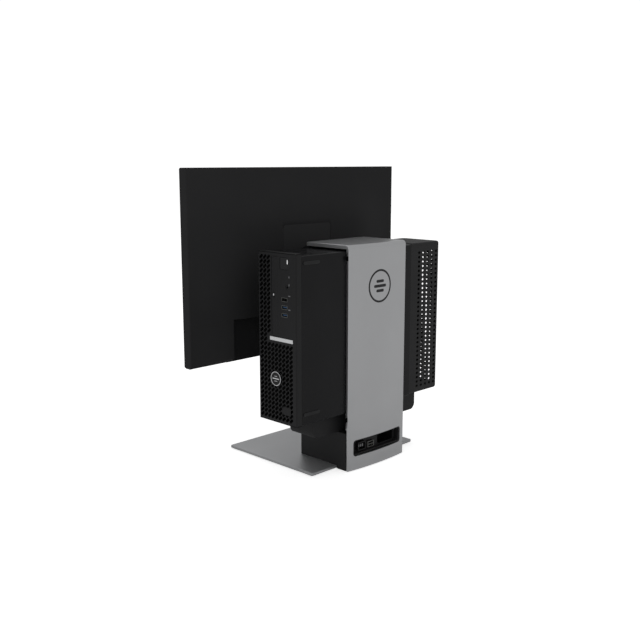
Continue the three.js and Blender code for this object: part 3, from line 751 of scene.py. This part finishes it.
def front_bezel():
    """The front bezel: one bent sheet with slanted slots, a smooth field and openings."""
    radius, wall, cap = 2.0, 2.0, 2.2
    wrap = Wrap(PC_HALF, radius, PC_FRONT - FACE - radius,
                lambda behind, sideways: (PC_FRONT - behind, sideways))
    across, up, reach, margin = 8.96, 7.76, 4.6, 5.4  # the slots' spacing, and half their extents
    tilt = math.atan2(up, across)

    def clear(y, z):
        """Whether a slot shows: not on the smooth field, nor where a mark would cover it."""
        if y + reach > STRIP["y0"] - 1 and z + margin > STRIP["bottom"] - 1:
            return y + reach < DRIVE["y0"] - 1 and z - margin > STRIP["top"] + 1
        if math.hypot(y - BADGE["y"], z - BADGE["z"]) < BADGE["radius"] - 2:
            return False
        beside = y < STICKER["y0"] or y > STICKER["y1"]
        above = z > STICKER["top"] or z < STICKER["bottom"]
        return beside or above

    key_hole = rounded(KEY["y0"] - 0.3, KEY["y1"] + 0.3, KEY["bottom"] - 0.3, KEY["top"] + 0.3, 3, 4)
    socket_mouths = [rounded(12, 25, z - 2.7, z + 2.7, 0.5, 2) for z in SOCKET_HEIGHTS]
    jack = ring(*JACK, 3.6, 20)
    loops = [[(-wrap.end, 0.2), (wrap.end, 0.2), (wrap.end, PC_HEIGHT - 0.2), (-wrap.end, PC_HEIGHT - 0.2)]]
    loops += [between(DRIVE, 0.3), between(STRIP, 0.3), key_hole, *socket_mouths, jack]
    columns = [-38.4 + across * i for i in range(9)]
    loops += slots(columns, 9.0, PC_HEIGHT - 8.6, up, 5.55, 2.5, tilt, clear)
    mesh = bmesh.new()
    plate(mesh, loops, 0, wall)
    wrap.bend(mesh, 4)
    section = []
    for side, start in ((-1, -QUARTER), (1, 0.0)):
        for i in range(5):
            angle = start + QUARTER * i / 4
            section.append((PC_FRONT - radius + radius * math.cos(angle),
                            side * (PC_HALF - radius) + radius * math.sin(angle)))
    section = [(FACE, -PC_HALF), *section, (FACE, PC_HALF)]
    plate(mesh, [section], 0, cap, 0.7)
    plate(mesh, [section], PC_HEIGHT - cap, PC_HEIGHT, 0.7)
    ledge = [(FACE, 1 - PC_HALF), (FACE + 1.5, 1 - PC_HALF), (FACE + 1.5, PC_HALF - 1), (FACE, PC_HALF - 1)]
    plate(mesh, [ledge], CASE_HEIGHT + 0.3, PC_HEIGHT - 1)
    piece("bezel_sheet", mesh, BEZEL_BLACK, "computer", replaces=["pc_front_bezel"],
          slot="black_plastic", place=PC_PLACE)
    # A near-black sheet behind the bezel's slots, with holes for the drive, key, sockets and jack: painted
    # shade inside the bezel.
    shade_loops = [rounded(3 - PC_HALF, PC_HALF - 3, 4, PC_HEIGHT - 3, 2), between(DRIVE, 0.6),
              offset(key_hole, 0.4), between(SOCKETS, 0.2), ring(*JACK, 4.4, 20)]
    slab("painted_shade_behind_slots", "x", shade_loops, PC_FRONT - 8.5, PC_FRONT - 7.5, 0.2, NEAR_BLACK_AND_SHADE, "computer",
         slot="black_plastic", place=PC_PLACE)


def front_details():
    """What the bezel shows: trim strip, button, drive bar, sockets, round mark and sticker."""
    x = PC_FRONT
    slab("trim_strip", "x", [between(STRIP)], x - 1.6, x + 0.3, 0.25, TRIM_SILVER, "computer",
         replaces=["bezel_strip"], slot="silver_trim", place=PC_PLACE)

    key = rounded(KEY["y0"], KEY["y1"], KEY["bottom"], KEY["top"], 2.7, 4)
    guide = rounded(24.4, 25.5, 272.0, 278.8, 0.5, 3)
    mesh = bmesh.new()
    plate(mesh, [key, guide], x - 8, x - 0.4, 0.5)
    piece("power_key", turned(mesh, "x"), GLOSS_BLACK, "power_button", replaces=["power_button"],
          slot="black_plastic", place=PC_PLACE)
    slab("power_light", "x", [offset(guide, -0.1)], x - 6, x - 0.35, 0.2, LIGHT, "power_button",
         place=PC_PLACE)

    mesh = bmesh.new()
    eject = rounded(-10.4, -5.6, 214.6, 223.4, 1.2, 3)
    plate(mesh, [between(DRIVE), eject], x - 7, x - 0.2, 0.6)
    plate(mesh, [offset(eject, 0.8)], x - 8, x - 6.5, 0.2)
    piece("drive_bar", turned(mesh, "x"), BEZEL_BLACK, "drive_tray", slot="black_plastic", place=PC_PLACE)
    slab("eject_key", "x", [offset(eject, -0.3)], x - 4.5, x, 0.4, BEZEL_BLACK, "eject_button",
         replaces=["eject_button"], slot="grey_plastic", place=PC_PLACE)
    slab("eject_mark", "x", [rounded(-9.3, -6.7, 217.2, 220.8, 1.0, 4)], x - 0.2, x + 0.1, 0.1, TRIM_SILVER,
         "eject_button", place=PC_PLACE)

    mesh = bmesh.new()
    mouths = [rounded(12.4, 24.6, z - 2.3, z + 2.3, 0.4, 2) for z in SOCKET_HEIGHTS]
    plate(mesh, [between(SOCKETS), *mouths], x - 10.5, x - 2.3, 0.2)
    plate(mesh, [between(SOCKETS)], x - 11, x - 10.3, 0.1)
    piece("socket_block", turned(mesh, "x"), GLOSS_BLACK, "computer", replaces=["front_sockets"],
          slot="black_plastic", place=PC_PLACE)
    for number, z in enumerate(SOCKET_HEIGHTS, 1):
        tongue = rounded(13, 24, z - 1.1, z + 1.1, 0.3, 2)
        slab(f"socket_tongue_{number}", "x", [tongue], x - 10.4, x - 1.6, 0.2,
             NEAR_BLACK_AND_SHADE if number == 1 else USB_BLUE, "computer", slot="black_plastic", place=PC_PLACE)
    slab("headset_barrel", "x", [ring(*JACK, 3.4, 24), ring(*JACK, 1.8, 24)], x - 9, x - 0.4, 0.3,
         GLOSS_BLACK, "computer", replaces=["headset_jack"], slot="black_plastic", place=PC_PLACE)

    mesh = bmesh.new()
    tall, wide = (28.7, 30.5, 1.7), (27.6, 32.6, 0.8)
    for z, (y0, y1, half) in ((251, tall), (238, tall), (220, wide), (197, wide)):
        plate(mesh, [rounded(y0, y1, z - half, z + half, 0.5, 3)], x - 0.1, x + 0.06)
    piece("socket_marks", turned(mesh, "x"), MARK_GREY, "computer", place=PC_PLACE)
    mesh = bmesh.new()
    for z in SOCKET_HEIGHTS:
        outside = rounded(11.4, 25.6, z - 3.3, z + 3.3, 0.9, 3)
        plate(mesh, [outside, rounded(12.1, 24.9, z - 2.6, z + 2.6, 0.5, 3)], x - 1.5, x + 0.15, 0.1)
    piece("socket_rims", turned(mesh, "x"), SOCKET_METAL, "computer", place=PC_PLACE)

    mesh = bmesh.new()
    y, z, radius = BADGE["y"], BADGE["z"], BADGE["radius"]
    plate(mesh, [ring(y, z, radius, 48), ring(y, z, radius - 1.2, 48)], x - 0.5, x + 0.8, 0.3)
    for lift, reach, half in ((4.2, 3.4, 0.5), (0.0, 8.0, 0.9), (-4.2, 3.4, 0.5)):
        plate(mesh, [rounded(y - reach, y + reach, z + lift - half, z + lift + half, 0.45, 3)],
              x, x + 0.6, 0.2)
    piece("front_mark", turned(mesh, "x"), TRIM_SILVER, "computer", place=PC_PLACE)
    slab("front_mark_disc", "x", [ring(y, z, radius - 0.4, 48)], x - 0.4, x + 0.3, 0.1, GLOSS_BLACK,
         "computer", place=PC_PLACE)
    slab("plain_sticker", "x", [between(STICKER)], x - 0.3, x + 0.2, 0.1, BEZEL_BLACK, "computer",
         place=PC_PLACE)
    for i in range(1, 5):
        dress(f"pc_foot_{i}", BLACK, 0.3)


def drive_sled():
    """The part of the drive's tray that slides, with its disc well and hub."""
    x0, x1 = FACE - 124, FACE + 6
    y0, y1 = DRIVE["y0"] + 2, DRIVE["y0"] + 11
    centre_x, centre_z = FACE - 62, 216
    outline = rounded(x0, x1, 154.5, 277.5, 4, 5)
    mesh = bmesh.new()
    plate(mesh, [outline], y0 + 2.4, y1, 0.3)
    plate(mesh, [outline, ring(centre_x, centre_z, 60.5, 96)], y0, y0 + 2.5, 0.3)
    plate(mesh, [ring(centre_x, centre_z, 16, 48), ring(centre_x, centre_z, 4, 24)], y0 + 0.6, y0 + 2.5, 0.3)
    piece("drive_sled", turned(mesh, "y"), GLOSS_BLACK, "drive_tray", replaces=["drive_tray"],
          slot="black_plastic", place=PC_PLACE)


# ---------------------------------------------------------------- display
def smooth(value):
    """0 below 0, 1 above 1, and a soft step between."""
    value = max(0.0, min(1.0, value))
    return value * value * (3 - 2 * value)


def grid_lines(low, high, step, extras):
    """Evenly spaced places between two limits, with more where a step in the surface lies."""
    count = round((high - low) / step)
    lines = {round(low + (high - low) * i / count, 3) for i in range(count + 1)}
    for extra in extras:
        lines = {line for line in lines if abs(line - extra) > 0.6 or line in (low, high)}
        lines.add(round(extra, 3))
    return sorted(lines)


def display_back():
    """The display's rear housing: a shallow dome with a recess for the head and one for sockets."""
    low, high = mm_box("display_rear_cover")
    head_low, head_high = mm_box("head_plate")
    half, bottom, top = high[0], low[2], high[2]
    edge_y, dome = -144.0, high[1] + 144.0
    recess_x, recess_low, recess_high = head_high[0] + 0.5, head_low[2] - 0.5, head_high[2] + 0.5
    recess_floor = head_low[1] - 0.3
    bay_half, bay_top, bay_floor, edge_width = 176.0, 262.0, -143.0, 3.0
    button_half, button_low = 10.6, head_low[2] - 12.1
    seam = 0.5  # the lower part of the back lies this much deeper

    def height(x, z):
        reach = abs(x)
        if reach < recess_x and recess_low < z < recess_high:
            return recess_floor
        if reach < button_half and button_low < z < recess_high:
            return recess_floor
        rise = smooth((half - reach) / 130) * smooth((z - bottom) / 10) * smooth((top - z) / 110)
        y = edge_y + dome * rise - (seam if z < bay_top and reach < half - 3 else 0.0)
        bay = smooth((bay_half + edge_width - reach) / edge_width)
        bay *= smooth((bay_top + edge_width - z) / edge_width)
        return y + bay * min(0.0, bay_floor - y)

    steps = [recess_x - 0.2, recess_x + 0.2, button_half - 0.2, button_half + 0.2]
    steps += [bay_half + edge_width * i / 4 for i in range(5)]
    across = grid_lines(-half, half, 8, [side * s for s in steps for side in (-1, 1)])
    ups = [recess_low - 0.2, recess_low + 0.2, recess_high - 0.2, recess_high + 0.2]
    ups += [button_low - 0.2, button_low + 0.2] + [bay_top + edge_width * i / 4 for i in range(5)]
    ups += [bottom + 2 * i for i in range(1, 8)]
    up = grid_lines(bottom, top, 8, ups)
    mesh = bmesh.new()
    rows = [[mesh.verts.new((x, height(x, z), z)) for x in across] for z in up]
    for lower, upper in zip(rows, rows[1:]):
        for i in range(len(across) - 1):
            mesh.faces.new((lower[i], upper[i], upper[i + 1], lower[i + 1]))
    rim = [rows[0][i] for i in range(len(across))]
    rim += [row[-1] for row in rows[1:]]
    rim += [rows[-1][i] for i in range(len(across) - 2, -1, -1)]
    rim += [row[0] for row in rows[-2:0:-1]]
    walls = [mesh.verts.new((v.co.x, low[1], v.co.z)) for v in rim]
    for i in range(len(rim)):
        j = (i + 1) % len(rim)
        mesh.faces.new((rim[i], rim[j], walls[j], walls[i]))
    mesh.faces.new(walls)
    bmesh.ops.recalc_face_normals(mesh, faces=mesh.faces)
    mesh.edges.ensure_lookup_table()
    on_rim = set(rim)
    edges = [e for e in mesh.edges if e.verts[0] in on_rim and e.verts[1] in on_rim]
    outer = [e for e in edges if len(e.link_faces) == 2 and e.calc_face_angle() > 1.0]
    bmesh.ops.bevel(mesh, geom=outer, offset=2.0, segments=3, profile=0.5, affect="EDGES")
    piece("display_back", mesh, DISPLAY_BLACK, "display", replaces=["display_rear_cover"],
          slot="black_plastic", sharp=50.0)


def socket_bay():
    """The floor of the recess for the display's sockets: black plastic made darker than the display's back
    with painted shade.
    """
    half, bottom, top = 175.0, 188.5, 261.0
    slab("socket_bay_shaded_floor", "y", [rounded(-half, half, bottom, top, 3)], -143.6, -142.4, 0.2, BAY_SHADED_BLACK,
         "display")


def display_front():
    """The frame round the screen, the screen, and the buttons below it."""
    low, high = mm_box("display_bezel")
    panel_low, panel_high = mm_box("lcd_panel")
    glass = rounded(panel_low[0], panel_high[0], panel_low[2], panel_high[2], 0.6, 2)
    opening = rounded(panel_low[0] - 0.2, panel_high[0] + 0.2, panel_low[2] - 0.2, panel_high[2] + 0.2,
                      0.8, 2)
    slab("display_frame", "y", [rounded(low[0], high[0], low[2], high[2], 3), opening], low[1], high[1], 0.8,
         DISPLAY_BLACK, "display", replaces=["display_bezel"], slot="black_plastic")
    slab("display_glass", "y", [glass], panel_low[1], panel_low[1] + 3, 0.2, SCREEN, "display",
         replaces=["lcd_panel"], slot="lcd_front")
    dress("display_power_button", BLACK, 0.3)
    for i in range(1, 5):
        dress(f"display_menu_button_{i}", BLACK, 0.3)


def head():
    """The plate behind the display and the joints that carry it."""
    low, high = mm_box("head_plate")
    slab("head_cover", "y", [rounded(low[0], high[0], low[2], high[2], 6)], low[1], high[1], 0.5,
         HEAD_BLACK, "display", replaces=["head_plate"], slot="black_steel")
    low, high = mm_box("release_button")
    slab("release_key", "y", [rounded(low[0], high[0], low[2], high[2], 2, 4)], low[1], high[1], 0.6,
         BLACK, "release_button", replaces=["release_button"], slot="grey_plastic")
    for node, material, edge in (
        ("pivot_disc", CASE_STEEL, 0.8), ("tilt_head", CASE_STEEL, 0.8), ("tilt_arm", CASE_STEEL, 1.0),
        ("tilt_pin", STEEL, 0.4), ("lift_carriage", STEEL, 0.8), ("lift_rail", STEEL, 0.2),
        ("lift_spring", STEEL, 0.3), ("lift_tower", CASE_STEEL, 1.2), ("column_base", BLACK, 1.2),
        ("cover_clip_upper", NEAR_BLACK_AND_SHADE, 0.3), ("cover_clip_lower", NEAR_BLACK_AND_SHADE, 0.3),
    ):
        dress(node, material, edge)


def inner_pieces():
    """What the closed cases hide."""
    for node, material in (
        ("display_board", BOARD), ("motherboard", BOARD), ("memory_module_1", BOARD),
        ("memory_module_2", BOARD), ("solid_state_drive", BOARD), ("cpu_heatsink", ALUMINIUM),
        ("cpu_fan_frame", BLACK), ("cpu_fan", BLACK), ("power_supply", STEEL), ("supply_fan", BLACK),
        ("hard_drive", ALUMINIUM), ("rear_sockets", ALUMINIUM), ("optical_drive", STEEL),
    ):
        dress(node, material)


# ---------------------------------------------------------------- the whole
build_camera()
build_studio()
base()
stand_skin()
rear_window()
stand_badge()
cradle()
cable_cover()
case()
front_bezel()
front_details()
drive_sled()
display_back()
socket_bay()
display_front()
head()
inner_pieces()
